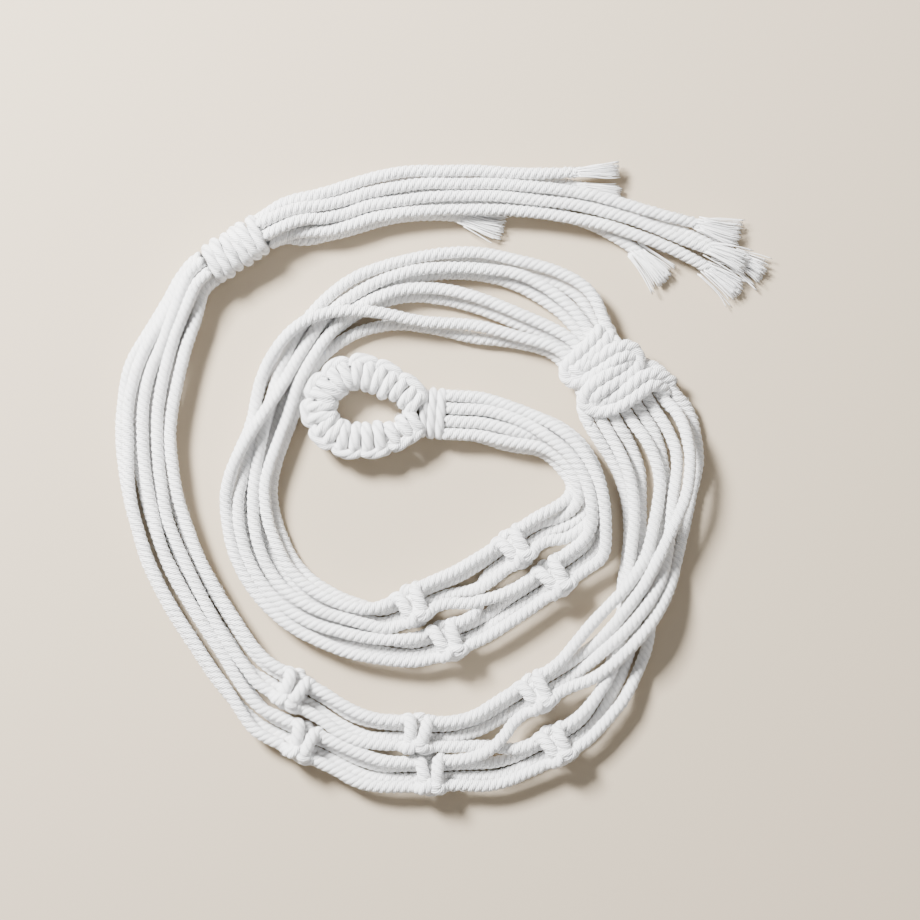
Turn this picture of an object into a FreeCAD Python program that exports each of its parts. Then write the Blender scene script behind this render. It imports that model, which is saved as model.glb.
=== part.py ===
import FreeCAD, Part
import math
import os

# Two-tier macrame plant hanger of white twisted cotton cord, laid flat in a clockwise spiral.
# Millimetres. +Z is up, z = 0 is the surface it rests on, the origin is the middle of the
# footprint. Every knot, binding, loop wrap and cord is a solid of its own; the cords butt on
# the flat end faces of the knots and bindings they run through.

CORD = 5.0                        # diameter of the twisted cord
LOW, HIGH, TOP = 2.7, 7.9, 13.1   # heights of a cord's centre in the three layers of the lay
LEAD = 6.0                        # straight run of a cord where it leaves a knot or binding
ROUNDING = 0.45                   # share of the shorter run that a bend takes up on each side

KNOT_LENGTH, KNOT_WIDTH, KNOT_HEIGHT = 13.0, 15.2, 10.6
GATHER_LENGTH, GATHER_WIDTH, GATHER_HEIGHT = 26.0, 41.4, 11.6
NECK_LENGTH, NECK_WIDTH, NECK_HEIGHT = 8.4, 20.6, 10.8
WRAP_LENGTH, WRAP_WIDTH, WRAP_HEIGHT = 26.0, 15.8, 16.0
LOOP_CORE = 7.0                   # diameter of the bundle inside the hanging loop
BEAD_HOLE, BEAD_DIAMETER, BEAD_GAP = 9.0, 14.2, 0.2

# Centre of each knot or binding on the floor plan and the direction the cords run through it.
SQUARE_KNOTS = {
    "1_inner": (31.5, -27.5, 216), "1_outer": (47.0, -39.5, 215),
    "2_inner": (-9.5, -50.5, 207), "2_outer": (4.5, -64.5, 200),
    "3_inner": (40.0, -85.5, 211), "3_outer": (48.0, -106.5, 208),
    "4_inner": (-7.5, -102.0, 178), "4_outer": (-2.5, -118.0, 182),
    "5_inner": (-57.5, -84.5, 152), "5_outer": (-53.5, -105.0, 155),
}
GATHER = (70.5, 41.5, -60)
NECK = (-0.5, 26.0, -4)
WRAP = (-80.5, 91.5, 33)

# Where a cord crosses the end face of a knot: (sideways, height), sideways away from the middle
# of the spiral. One entry for each of the cords named beside it.
KNOT_SLOTS = [(-4.9, HIGH), (-2.55, LOW), (2.55, LOW), (4.9, HIGH)]
GATHER_IN_SLOTS = {
    "2": (-14.5, LOW), "3": (-12, HIGH), "4": (-8.5, LOW), "1": (-6, HIGH),
    "6": (-2.5, LOW), "8": (0.5, HIGH), "7": (4, LOW), "5": (7.5, HIGH),
}
GATHER_OUT_SLOTS = {
    "a": (-17.9, 6), "b": (-12.8, 6), "c": (-7.7, 6), "d": (-2.55, 6),
    "e": (2.55, 6), "f": (7.7, 6), "g": (12.8, 6), "h": (17.9, 6),
}
NECK_SLOTS = {
    "1": (-7.65, LOW), "2": (-7.65, HIGH), "3": (-2.55, LOW), "4": (-2.55, HIGH),
    "6": (2.55, LOW), "5": (2.55, HIGH), "7": (7.65, LOW), "8": (7.65, HIGH),
}
WRAP_SLOTS = {
    "c": (5.15, LOW), "a": (0, LOW), "g": (-5.15, LOW), "e": (5.15, HIGH),
    "f": (0, HIGH), "d": (-5.15, HIGH), "h": (2.6, TOP), "b": (-2.6, TOP),
}
KNOT_CORDS = {
    "1_inner": "1234", "1_outer": "5678", "2_inner": "1245", "2_outer": "3678",
    "3_inner": "dgfh", "3_outer": "bace", "4_inner": "dgfb", "4_outer": "hace",
    "5_inner": "dgfb", "5_outer": "hace",
}

# Middle line of the hanging loop; a wrap sits on each run between these points.
LOOP_LINE = [
    (-9.6, 31, 7.1), (-17, 37, 7.1), (-25, 41.5, 7.1), (-34, 43, 7.1), (-42, 38.5, 7.1),
    (-47, 31, 7.1), (-46, 22.5, 7.1), (-39.5, 16.5, 7.1), (-30, 15, 7.1), (-20, 16.5, 7.1),
    (-10.2, 22.3, 7.1),
]
LOOP_LEGS = (4.4, 6.6), (-4.4, 6.6)   # where the loop's two legs leave the neck wrap

# Points each cord passes between the knots, (x, y, height of its centre).
# Upper cords, neck wrap to the first pair of knots: a U-turn stacked in three layers.
NECK_TO_KNOT_1 = {
    "1": [(17.5, 16.5, LOW), (30.5, 13, LOW), (42, 11.5, LOW), (50, 5.5, LOW), (55, -2.5, LOW),
          (52.5, -8.5, 4), (46.5, -12.5, 6.5)],
    "2": [(17.5, 17.5, HIGH), (30.5, 14, HIGH), (43, 13, HIGH), (52, 6, HIGH), (57, -2.5, HIGH),
          (57.5, -9.5, 5.5), (50.5, -16, 3.2)],
    "3": [(18.5, 21.5, LOW), (32, 17.5, LOW), (44.5, 15.5, LOW), (53.5, 9, LOW), (59.5, -0.5, LOW),
          (61.5, -8, LOW), (59.5, -15, LOW), (51, -20, LOW)],
    "4": [(18.5, 22.5, HIGH), (32.5, 18.5, HIGH), (45.5, 17, HIGH), (55.5, 9.5, HIGH),
          (61.5, -0.5, HIGH), (64, -8.5, HIGH), (62.5, -17, HIGH), (52.5, -24, HIGH)],
    "5": [(20, 27.5, HIGH), (35.5, 22, 9.8), (46, 16, 12.5), (55, 8.5, TOP), (60, -1, TOP),
          (62.5, -11.5, TOP), (62, -19, 11), (59.5, -24, 9)],
    "6": [(20, 26.5, LOW), (35, 21.5, LOW), (47.5, 19, LOW), (57.5, 11.5, LOW), (64.5, -1, LOW),
          (66.5, -12, LOW), (65, -21.5, LOW), (61.5, -26.5, LOW)],
    "7": [(20, 31.5, LOW), (35.5, 26, LOW), (49, 21.5, 5), (59.5, 12.5, 7.3), (65.5, -0.5, HIGH),
          (67.5, -12.5, HIGH), (67.5, -23, 6.5), (64.5, -30, 3.6)],
    "8": [(20, 32, HIGH), (36, 26.5, 9.2), (49, 20.5, 11.6), (59, 11.5, 12.8), (65, -0.5, TOP),
          (67.5, -12, TOP), (68, -24, 11.5), (66.5, -32, 9)],
}

# Upper cords, first to second pair of knots: cords 3 and 5 change sides.
KNOT_1_TO_2 = {
    "1": [(12, -35, 7.5), (5.5, -38, 7.5)],
    "2": [(13.5, -37, LOW), (7, -40, LOW)],
    "3": [(19, -41, LOW), (17, -46, LOW), (17.5, -51, 5.2)],
    "4": [(20, -42, 7), (13.5, -45, 4.2), (8.5, -46, LOW)],
    "5": [(27.5, -46, HIGH), (20, -48.5, HIGH), (12, -50, HIGH)],
    "6": [(28.5, -49, LOW), (22, -54, LOW)],
    "7": [(31, -53.5, LOW), (24, -58.5, LOW)],
    "8": [(32.5, -55.5, HIGH), (25, -60.5, HIGH)],
}

# Upper cords, second pair of knots round the spiral to the gathering knot.
KNOT_2_TO_GATHER = {
    "1": [(-29.5, -52, HIGH), (-36.5, -50.5, HIGH), (-43.5, -48, HIGH), (-51.5, -44, HIGH),
          (-59, -37, HIGH), (-64, -27.5, HIGH), (-67.5, -17, HIGH), (-68.5, -6.5, HIGH),
          (-67, 4, HIGH), (-63.5, 14.5, HIGH), (-59.5, 25, HIGH), (-56, 35.5, HIGH),
          (-51.5, 45.5, HIGH), (-45, 55.5, HIGH), (-37, 64.5, HIGH), (-26.5, 71.5, HIGH),
          (-13.5, 76.5, HIGH), (1.5, 76.5, HIGH), (16.5, 72.5, HIGH), (31.5, 66.5, HIGH),
          (45, 61, HIGH)],
    "2": [(-29, -51, LOW), (-36, -49, LOW), (-43.5, -45.5, LOW), (-51, -41, LOW), (-57.5, -34, LOW),
          (-62, -25, LOW), (-65.5, -15.5, LOW), (-66.5, -5.5, LOW), (-65, 5, LOW), (-61.5, 15, LOW),
          (-57.5, 25, LOW), (-54, 35, LOW), (-49, 45, LOW), (-41, 53.5, LOW), (-30.5, 60, LOW),
          (-16, 62.5, LOW), (0, 60, LOW), (14.5, 56.5, LOW), (29.5, 54.5, LOW)],
    "3": [(-16.5, -65, HIGH), (-26.5, -64, HIGH), (-36.5, -62, HIGH), (-47.5, -59, HIGH),
          (-58.5, -53, HIGH), (-68, -44.5, HIGH), (-75, -34, HIGH), (-78.5, -22.5, HIGH),
          (-79.5, -11, HIGH), (-77.5, -0.5, HIGH), (-75.5, 9, HIGH), (-74, 19, HIGH),
          (-73, 29, HIGH), (-70.5, 39, 9.4), (-65.5, 49, 11.4), (-57, 59.5, TOP), (-45.5, 66, TOP),
          (-33, 67.5, 12.4), (-20, 65.5, 10.2), (-7, 62.5, 8.4), (7.5, 62, HIGH), (21, 60, HIGH),
          (34.5, 56.5, HIGH)],
    "4": [(-26.5, -57, LOW), (-35.5, -55, LOW), (-45, -51.5, LOW), (-53.5, -47, LOW),
          (-61.5, -39.5, LOW), (-67.5, -29, LOW), (-71.5, -18.5, LOW), (-73, -8, LOW),
          (-71.5, 2.5, LOW), (-68, 12.5, LOW), (-63, 23.5, LOW), (-60, 34, LOW), (-55.5, 44, LOW),
          (-48, 53.5, LOW), (-37.5, 62, LOW), (-25, 70, LOW), (-10.5, 74, LOW), (4.5, 72, LOW),
          (19.5, 67.5, LOW), (32.5, 62.5, LOW), (43.5, 58.5, LOW)],
    "5": [(-25.5, -58.5, HIGH), (-34.5, -56.5, HIGH), (-44, -54, HIGH), (-54, -49.5, HIGH),
          (-63, -42, HIGH), (-69.5, -31.5, HIGH), (-73, -20, HIGH), (-73.5, -8.5, HIGH),
          (-72.5, 2, HIGH), (-70.5, 12, HIGH), (-68, 22, HIGH), (-66, 32.5, HIGH),
          (-63, 43.5, HIGH), (-57.5, 55, HIGH), (-50, 65.5, HIGH), (-41, 74.5, HIGH),
          (-29, 82.5, HIGH), (-13, 88, HIGH), (5.5, 90.5, HIGH), (24.5, 89.5, HIGH),
          (41.5, 85.5, HIGH), (56.5, 79.5, HIGH), (64, 72, HIGH)],
    "6": [(-15.5, -65, LOW), (-25.5, -63.5, LOW), (-36, -61, LOW), (-46.5, -57.5, LOW),
          (-57.5, -51.5, LOW), (-66.5, -42.5, LOW), (-73.5, -32, LOW), (-77.5, -20.5, LOW),
          (-78.5, -10, LOW), (-76.5, 0.5, LOW), (-73, 10.5, LOW), (-68, 21.5, LOW),
          (-65.5, 32.5, LOW), (-61.5, 44, LOW), (-54.5, 54, LOW), (-44.5, 63, LOW), (-33, 71, LOW),
          (-18.5, 79, LOW), (-3.5, 82.5, LOW), (13.5, 82.5, LOW), (29.5, 79.5, LOW), (42, 73, LOW),
          (52, 65.5, LOW)],
    "7": [(-15.5, -70.5, LOW), (-25.5, -69, LOW), (-35.5, -67, LOW), (-47, -63.5, LOW),
          (-57.5, -58, LOW), (-67.5, -49.5, LOW), (-75.5, -38.5, LOW), (-81.5, -26.5, LOW),
          (-83.5, -14, LOW), (-83.5, -2.5, LOW), (-80.5, 8, LOW), (-75.5, 19, LOW),
          (-72.5, 30.5, LOW), (-69, 42, LOW), (-62.5, 52.5, LOW), (-53, 62, LOW), (-41.5, 71, LOW),
          (-28, 79, LOW), (-11.5, 85, LOW), (6.5, 88, LOW), (23.5, 86, LOW), (40.5, 82, LOW),
          (53.5, 76.5, LOW), (60.5, 70, LOW)],
    "8": [(-13.5, -73.5, HIGH), (-23.5, -72, HIGH), (-34.5, -70, HIGH), (-45.5, -66, HIGH),
          (-56.5, -61, HIGH), (-66.5, -53, HIGH), (-75.5, -42, HIGH), (-81.5, -29.5, HIGH),
          (-84, -16.5, HIGH), (-84.5, -6, 9.5), (-81.5, 5, 12.4), (-76, 15, TOP),
          (-69.5, 24.5, TOP), (-63.5, 33.5, 11.2), (-59, 42, 8.8), (-52.5, 53.5, HIGH),
          (-44.5, 64, HIGH), (-34, 73, HIGH), (-20, 81, HIGH), (-4.5, 84.5, HIGH), (13.5, 85, HIGH),
          (31.5, 82.5, HIGH), (44.5, 76.5, HIGH), (54.5, 68, HIGH)],
}

# Lower cords, gathering knot to the third pair of knots.
GATHER_TO_KNOT_3 = {
    "a": [(70, 8.5, LOW), (74.5, 0, LOW), (77, -10, LOW), (77.5, -20.5, LOW), (76.5, -32, LOW),
          (75, -43, LOW), (74.5, -54, LOW), (73, -65, LOW), (69, -77.5, LOW), (64, -89.5, LOW)],
    "b": [(73, 11.5, 7.3), (77.5, 2, HIGH), (79, -8, HIGH), (79, -18.5, HIGH), (77.5, -30, HIGH),
          (76.5, -41.5, HIGH), (76, -52.5, HIGH), (74.5, -64.5, HIGH), (70.5, -76.5, HIGH),
          (64.5, -88, HIGH)],
    "c": [(78.5, 13.5, 3.6), (82, 4, LOW), (82.5, -6.5, LOW), (82.5, -17.5, LOW),
          (82, -28.5, LOW), (80.5, -40.5, LOW), (80.5, -52.5, LOW), (79, -65, LOW),
          (75.5, -77.5, LOW), (69, -91, LOW)],
    "d": [(83.5, 17, 7.4), (88, 8, HIGH), (90, -2, HIGH), (88.5, -12, HIGH), (86, -22.5, 9),
          (82.5, -33, 12), (76.5, -42.5, TOP), (69.5, -50, 12.5), (62, -58, 9), (54.5, -67, HIGH)],
    "e": [(87.5, 18.5, 4), (91, 9.5, LOW), (92.5, -1.5, LOW), (92, -12.5, LOW), (90, -23.5, LOW),
          (87.5, -34.5, LOW), (86, -46.5, LOW), (86, -58.5, LOW), (84.5, -70.5, 3.6), (79, -82, 6),
          (71, -94, 7.7)],
    "f": [(92, 22, 7), (95.5, 12.5, HIGH), (96.5, 2.5, HIGH), (95, -8, HIGH), (94, -18.5, HIGH),
          (92.5, -29.5, HIGH), (90, -39.5, 9.5), (85, -48.5, 12.7), (78.5, -57, TOP),
          (71.5, -64.5, 12), (64.5, -71.5, 6.5), (58.5, -76.5, 3.4)],
    "g": [(96.5, 26, 9), (100.5, 17, 12), (102, 6.5, TOP), (100.5, -3.5, TOP), (97, -13, TOP),
          (93, -22.5, TOP), (88.5, -32, TOP), (83.5, -41.5, TOP), (77, -50, TOP),
          (70.5, -58.5, 11.5), (64.5, -65.5, 6.8), (57.5, -71, 3.5)],
    "h": [(101.5, 28, 3.6), (104.5, 18.5, LOW), (105.5, 8.5, LOW), (104, -2, LOW),
          (102, -12, LOW), (99, -22, LOW), (97, -32, 4), (94.5, -42, 7.5), (90, -51, 11),
          (84, -60, TOP), (77, -68, TOP), (69, -75.5, 10.5), (61.5, -81, 8.3)],
}

# Lower cords, third to fourth pair of knots: cords h and b change sides.
KNOT_3_TO_4 = {
    "a": [(28.5, -113, LOW), (22.5, -114.5, LOW), (16.5, -115, LOW)],
    "b": [(27.5, -108, 6.2), (20.5, -107, 5.6), (12.5, -107, 7)],
    "c": [(31, -118, LOW), (24, -120, LOW), (17, -120, LOW)],
    "d": [(21, -91.5, 8.5), (14.5, -95.5, 8.7)],
    "e": [(32, -120, 7.5), (24.5, -122.5, 7.4), (17.5, -123.5, 7.5)],
    "f": [(24.5, -98, LOW), (17.5, -102, LOW), (11, -104, LOW)],
    "g": [(22, -94, LOW), (16, -97, LOW)],
    "h": [(28, -102, 10), (23.5, -107, 11), (17.5, -111, 9)],
}

# Lower cords, fourth to fifth pair of knots.
KNOT_4_TO_5 = {
    "a": [(-21.5, -116, LOW), (-28.5, -114, LOW), (-35.5, -111, LOW)],
    "b": [(-27, -106, 7.6), (-34.5, -104, HIGH), (-41.5, -100, HIGH)],
    "c": [(-22, -121, LOW), (-29.5, -119.5, LOW), (-37.5, -116, LOW)],
    "d": [(-26.5, -95.5, 7.5), (-33, -93, 7.6), (-38.5, -90, 7.5)],
    "e": [(-22, -123.5, 7.6), (-30, -122, 7.6), (-38, -118.5, 7.6)],
    "f": [(-27, -104, LOW), (-34.5, -101.5, LOW), (-41.5, -97.5, LOW)],
    "g": [(-26.5, -98, LOW), (-33.5, -96, LOW), (-39.5, -92, LOW)],
    "h": [(-21.5, -113, HIGH), (-28, -111, HIGH), (-34.5, -108.5, HIGH)],
}

# Lower cords, fifth pair of knots round the left side to the bottom wrap.
KNOT_5_TO_WRAP = {
    "a": [(-69.5, -93, LOW), (-75, -86, LOW), (-80, -78.5, LOW), (-88.5, -67, LOW), (-96, -56, LOW),
          (-103.5, -44, LOW), (-109.5, -32, LOW), (-114, -19.5, LOW), (-117.5, -7, LOW),
          (-119.5, 5.5, LOW), (-120.5, 18, LOW), (-119.5, 31.5, LOW), (-117, 44, LOW),
          (-112, 54.5, LOW), (-106.5, 64, LOW), (-102, 72.5, LOW)],
    "b": [(-76, -76, HIGH), (-82.5, -66.5, HIGH), (-89.5, -54.5, HIGH), (-96, -43, HIGH),
          (-101.5, -31.5, HIGH), (-106, -20, HIGH), (-109.5, -8.5, HIGH), (-111, 3, HIGH),
          (-111.5, 15.5, HIGH), (-111.5, 28, HIGH), (-109.5, 40, HIGH), (-106.5, 51.5, 8.3),
          (-102, 62.5, 10.8), (-98.5, 72, 12.8)],
    "c": [(-72.5, -98.5, LOW), (-79.5, -91.5, LOW), (-86, -83.5, LOW), (-93.5, -73, LOW),
          (-101.5, -61.5, LOW), (-109, -49.5, LOW), (-115.5, -36, LOW), (-120.5, -22, LOW),
          (-124, -8.5, LOW), (-126, 5, LOW), (-127, 18.5, LOW), (-126, 33, LOW), (-123.5, 45, LOW),
          (-118.5, 55, LOW), (-112.5, 64, LOW), (-107.5, 72, LOW), (-103.5, 79.5, LOW)],
    "d": [(-71.5, -69, HIGH), (-77.5, -61.5, HIGH), (-83.5, -52, HIGH), (-89.5, -41.5, HIGH),
          (-95.5, -30.5, HIGH), (-100, -19, HIGH), (-103.5, -8, HIGH), (-105.5, 3.5, HIGH),
          (-106, 15, HIGH), (-105.5, 27.5, HIGH), (-103.5, 38.5, HIGH), (-101, 50, HIGH),
          (-97.5, 60, HIGH), (-95, 69.5, HIGH)],
    "e": [(-73.5, -100, HIGH), (-78.5, -92.5, HIGH), (-83.5, -84.5, HIGH), (-90.5, -75, HIGH),
          (-98, -64, HIGH), (-105.5, -52, HIGH), (-112.5, -39.5, HIGH), (-117.5, -26, HIGH),
          (-121.5, -13, HIGH), (-123, 0, HIGH), (-123.5, 14, HIGH), (-123.5, 28, HIGH),
          (-121, 41.5, HIGH), (-116.5, 52.5, HIGH), (-111, 62, HIGH), (-106.5, 70.5, HIGH),
          (-103, 78, HIGH)],
    "f": [(-76, -76, LOW), (-82.5, -67, LOW), (-89.5, -56, LOW), (-96.5, -44.5, LOW),
          (-103, -32.5, LOW), (-107.5, -21, LOW), (-111.5, -9, LOW), (-113.5, 2.5, LOW),
          (-114.5, 15, LOW), (-114, 28, LOW), (-112, 40.5, LOW), (-107.5, 52, LOW), (-103, 63, 4),
          (-99.5, 72, 6.8)],
    "g": [(-73.5, -70, LOW), (-79, -62.5, LOW), (-84.5, -53.5, LOW), (-91, -42.5, LOW),
          (-96.5, -31.5, LOW), (-101.5, -20, LOW), (-105.5, -8, LOW), (-107.5, 3.5, LOW),
          (-108, 15.5, LOW), (-107.5, 27.5, LOW), (-106, 39, LOW), (-103.5, 50, LOW),
          (-99.5, 60, LOW), (-96.5, 69.5, LOW)],
    "h": [(-69.5, -92.5, HIGH), (-75.5, -86, HIGH), (-81, -78, HIGH), (-87.5, -67.5, HIGH),
          (-95, -56.5, HIGH), (-102, -45, HIGH), (-108.5, -33, HIGH), (-112.5, -20.5, HIGH),
          (-115.5, -8, HIGH), (-117, 4, HIGH), (-117.5, 16, HIGH), (-117, 30, HIGH),
          (-114.5, 42.5, HIGH), (-109.5, 54, 8.3), (-105, 64.5, 10.8), (-101.5, 74.5, 12.7)],
}

# Tail cords, bottom wrap to the cut ends of the tassel.
TASSEL = {
    "a": [(-55.5, 106.5, LOW), (-46.5, 108, LOW), (-36.5, 109.5, LOW), (-25.5, 113, LOW),
          (-8.5, 115.5, LOW), (9.5, 116, LOW), (29.5, 115, LOW), (49.5, 112.5, LOW),
          (67, 109.5, LOW), (84.5, 104.5, LOW), (100, 99, LOW), (114.5, 92, LOW), (128, 85, LOW)],
    "b": [(-53.5, 104, 12), (-45.5, 104, 9.5), (-35.5, 106, HIGH), (-25.5, 110, HIGH),
          (-7.5, 112.5, HIGH), (15.5, 113.5, HIGH), (35.5, 112, HIGH), (56.5, 109.5, HIGH),
          (72, 106, 8), (86.5, 101.5, 8), (100.5, 95.5, 7.8), (111, 91.5, 7.3), (120.5, 87.5, 6.8)],
    "c": [(-58.5, 110.5, LOW), (-49, 112.5, LOW), (-38, 114, LOW), (-25.5, 118, LOW),
          (-12.5, 120, LOW), (1.5, 121.5, LOW), (17.5, 121.5, LOW), (33.5, 120, LOW),
          (49.5, 119, LOW), (69.5, 116, LOW)],
    "d": [(-52, 99, HIGH), (-43.5, 99, HIGH), (-35, 101, HIGH), (-24.5, 104.5, HIGH),
          (-7.5, 107.5, HIGH), (17.5, 108, HIGH), (37, 106.5, HIGH), (56.5, 104, HIGH),
          (71, 100.5, 8), (85.5, 96, 8), (99, 90, 6.5), (110, 84, 4), (119, 78.5, 3)],
    "e": [(-58.5, 111, HIGH), (-49, 113.5, HIGH), (-38, 116, HIGH), (-26.5, 120, HIGH),
          (-13.5, 122.5, HIGH), (0.5, 123.5, HIGH), (15.5, 123.5, HIGH), (31.5, 122, HIGH),
          (50, 122, 7), (68.5, 123.5, 6)],
    "f": [(-55.5, 102, 6.6), (-46, 102.5, 4), (-35.5, 104.5, LOW), (-24.5, 108.5, LOW),
          (-8, 111, LOW), (13.5, 111, LOW), (33.5, 109.5, LOW), (51.5, 106, LOW), (66, 101, LOW),
          (77.5, 94, LOW), (84.5, 88.5, LOW), (89.5, 83.5, LOW)],
    "g": [(-53, 95.5, LOW), (-44, 98, LOW), (-34.5, 100, LOW), (-23.5, 103.5, LOW), (-10.5, 106, LOW),
          (1.5, 106.5, LOW), (12.5, 105, LOW), (22.5, 102, LOW)],
    "h": [(-55.5, 108, 11.5), (-46.5, 109, 9), (-36.5, 111, HIGH), (-25.5, 115, HIGH),
          (-7.5, 118, HIGH), (13.5, 118.5, HIGH), (32, 117.5, HIGH), (50, 115.5, HIGH),
          (67, 112.5, 7.5), (84, 108, 7.2), (101, 103, 6), (117.5, 98.5, 4)],
}

os.makedirs("parts", exist_ok=True)


def save(shape, node):
    """Write one node, with its volume printed as a check."""
    shape.exportStep("parts/" + node + ".step")
    print(node, "volume %.0f mm3" % shape.Volume, "valid" if shape.isValid() else "NOT VALID")


def at(place, along, across, height):
    """A point given along and across the direction of a knot or binding."""
    x, y, heading = place
    cos, sin = math.cos(math.radians(heading)), math.sin(math.radians(heading))
    return FreeCAD.Vector(x + along * cos - across * sin, y + along * sin + across * cos, height)


def put(shape, place):
    """Move a shape made round the origin to a knot's place and heading."""
    x, y, heading = place
    shape.rotate(FreeCAD.Vector(0, 0, 0), FreeCAD.Vector(0, 0, 1), heading)
    shape.translate(FreeCAD.Vector(x, y, 0))
    return shape


def rounded_wire(points):
    """Straight runs joined by tangent arcs, each arc fitted to the shorter run beside it."""
    edges = []
    radii = []
    here = points[0]
    for before, corner, after in zip(points, points[1:], points[2:]):
        run_in, run_out = corner - before, after - corner
        cut = ROUNDING * min(run_in.Length, run_out.Length)
        turn = run_in.getAngle(run_out)
        radius = cut / math.tan(turn / 2)
        start = corner - run_in.normalize() * cut
        end = corner + run_out.normalize() * cut
        inward = (run_out - run_in).normalize()
        middle = corner + inward * (radius / math.cos(turn / 2) - radius)
        edges.append(Part.LineSegment(here, start).toShape())
        edges.append(Part.Arc(start, middle, end).toShape())
        radii.append(radius)
        here = end
    edges.append(Part.LineSegment(here, points[-1]).toShape())
    return Part.Wire(edges), radii


def tube(points, diameter):
    """Round tube along rounded points; returns the solid, the path length and the bend radii."""
    wire, radii = rounded_wire(points)
    ring = Part.Wire([Part.makeCircle(diameter / 2, points[0], points[1] - points[0])])
    solid = wire.makePipeShell([ring], True, False)
    return solid, wire.Length, radii


def slot(knot_name, cord):
    """Slot of a cord in a square knot."""
    return KNOT_SLOTS[KNOT_CORDS[knot_name].index(cord)]


def knot_of(row, cord):
    """Which square knot of a row a cord runs through."""
    for side in ("_inner", "_outer"):
        if cord in KNOT_CORDS[row + side]:
            return row + side


def leaving(place, length, position):
    """Two points of a cord where it comes out of a knot or binding."""
    return [at(place, length / 2, *position), at(place, length / 2 + LEAD, *position)]


def arriving(place, length, position):
    """Two points of a cord where it goes into a knot or binding."""
    return [at(place, -length / 2 - LEAD, *position), at(place, -length / 2, *position)]


def out_of_knot(row, cord):
    name = knot_of(row, cord)
    return leaving(SQUARE_KNOTS[name], KNOT_LENGTH, slot(name, cord))


def into_knot(row, cord):
    name = knot_of(row, cord)
    return arriving(SQUARE_KNOTS[name], KNOT_LENGTH, slot(name, cord))


def between(points):
    return [FreeCAD.Vector(*point) for point in points]


def upper_stretches(cord):
    """The three free stretches of an upper cord, from the neck wrap to the gathering knot."""
    return [
        leaving(NECK, NECK_LENGTH, NECK_SLOTS[cord]) + between(NECK_TO_KNOT_1[cord])
        + into_knot("1", cord),
        out_of_knot("1", cord) + between(KNOT_1_TO_2[cord]) + into_knot("2", cord),
        out_of_knot("2", cord) + between(KNOT_2_TO_GATHER[cord])
        + arriving(GATHER, GATHER_LENGTH, GATHER_IN_SLOTS[cord]),
    ]


def lower_stretches(cord):
    """The four free stretches of a lower cord, from the gathering knot to the bottom wrap."""
    return [
        leaving(GATHER, GATHER_LENGTH, GATHER_OUT_SLOTS[cord]) + between(GATHER_TO_KNOT_3[cord])
        + into_knot("3", cord),
        out_of_knot("3", cord) + between(KNOT_3_TO_4[cord]) + into_knot("4", cord),
        out_of_knot("4", cord) + between(KNOT_4_TO_5[cord]) + into_knot("5", cord),
        out_of_knot("5", cord) + between(KNOT_5_TO_WRAP[cord])
        + arriving(WRAP, WRAP_LENGTH, WRAP_SLOTS[cord]),
    ]


def tail_stretches(cord):
    """The one stretch of a tail cord, from the bottom wrap to its cut end."""
    return [leaving(WRAP, WRAP_LENGTH, WRAP_SLOTS[cord]) + between(TASSEL[cord])]


def cord_solids(node, stretches):
    """All the stretches of one cord in one node."""
    section = math.pi * CORD ** 2 / 4
    solids = []
    for number, points in enumerate(stretches, 1):
        solid, length, radii = tube(points, CORD)
        print("%s stretch %d: %.0f mm, radii %.1f to %.0f, volume / (section x length) %.4f" % (
            node, number, length, min(radii), max(radii), solid.Volume / (section * length)))
        solids.append(solid)
    save(Part.makeCompound(solids), node)


def bar(length, width, height, top_radius):
    """Block with flat ends and a flat underside, its long upper edges rounded."""
    block = Part.makeBox(length, width, height, FreeCAD.Vector(-length / 2, -width / 2, 0))
    upper, lower = [], []
    for edge in block.Edges:
        if abs(edge.tangentAt(edge.FirstParameter).x) > 0.9:
            (upper if edge.BoundBox.ZMin > height / 2 else lower).append(edge)
    block = block.makeFillet(1.0, lower)
    upper = [edge for edge in block.Edges
             if abs(edge.tangentAt(edge.FirstParameter).x) > 0.9 and edge.BoundBox.ZMin > height - 0.1]
    return block.makeFillet(top_radius, upper)


def strand(start, end, radius):
    """Short round bar with ball ends, for one pass of cord over the front of a knot."""
    start, end = FreeCAD.Vector(*start), FreeCAD.Vector(*end)
    rod = Part.makeCylinder(radius, (end - start).Length, start, end - start)
    return rod.fuse(Part.makeSphere(radius, start)).fuse(Part.makeSphere(radius, end))


def square_knot():
    """Square knot: two slanting front passes and the small bump that locks them."""
    knot = bar(KNOT_LENGTH, KNOT_WIDTH, KNOT_HEIGHT, 2.4)
    for side in (-1, 1):
        knot = knot.fuse(strand((1.7 * side, -3.2, 9.9), (3.9 * side, 4.4, 9.7), 2.4))
    return knot.fuse(strand((-1.6, -4.9, 9.3), (1.6, -4.9, 9.3), 2.5)).removeSplitter()


def gathering_knot():
    """Wide square knot worked over all the cords: doubled front passes and doubled bumps."""
    knot = bar(GATHER_LENGTH, GATHER_WIDTH, GATHER_HEIGHT, 3.0)
    for side in (-1, 1):
        for inset in (0, 5.2):
            start = ((2.9 + inset) * side, -13.5, 11.0)
            end = ((2.9 + inset) * side, 13.0, 11.0)
            knot = knot.fuse(strand(start, end, 2.6))
    return knot.fuse(strand((0, -17.2, 9.4), (0, -14.6, 11.4), 2.9)).removeSplitter()


def binding(length, width, height, top_radius, turns):
    """Wrapped binding: a bar with a shallow groove between one turn of cord and the next."""
    wrapped = bar(length, width, height, top_radius)
    pitch = length / turns
    for number in range(1, turns):
        x = -length / 2 + number * pitch
        frame = Part.makeBox(0.6, width + 2, height, FreeCAD.Vector(x - 0.3, -width / 2 - 1, 1))
        inner = bar(length, width - 1.2, height - 0.6, top_radius - 0.3)
        wrapped = wrapped.cut(frame.cut(inner))
    return wrapped


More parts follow.
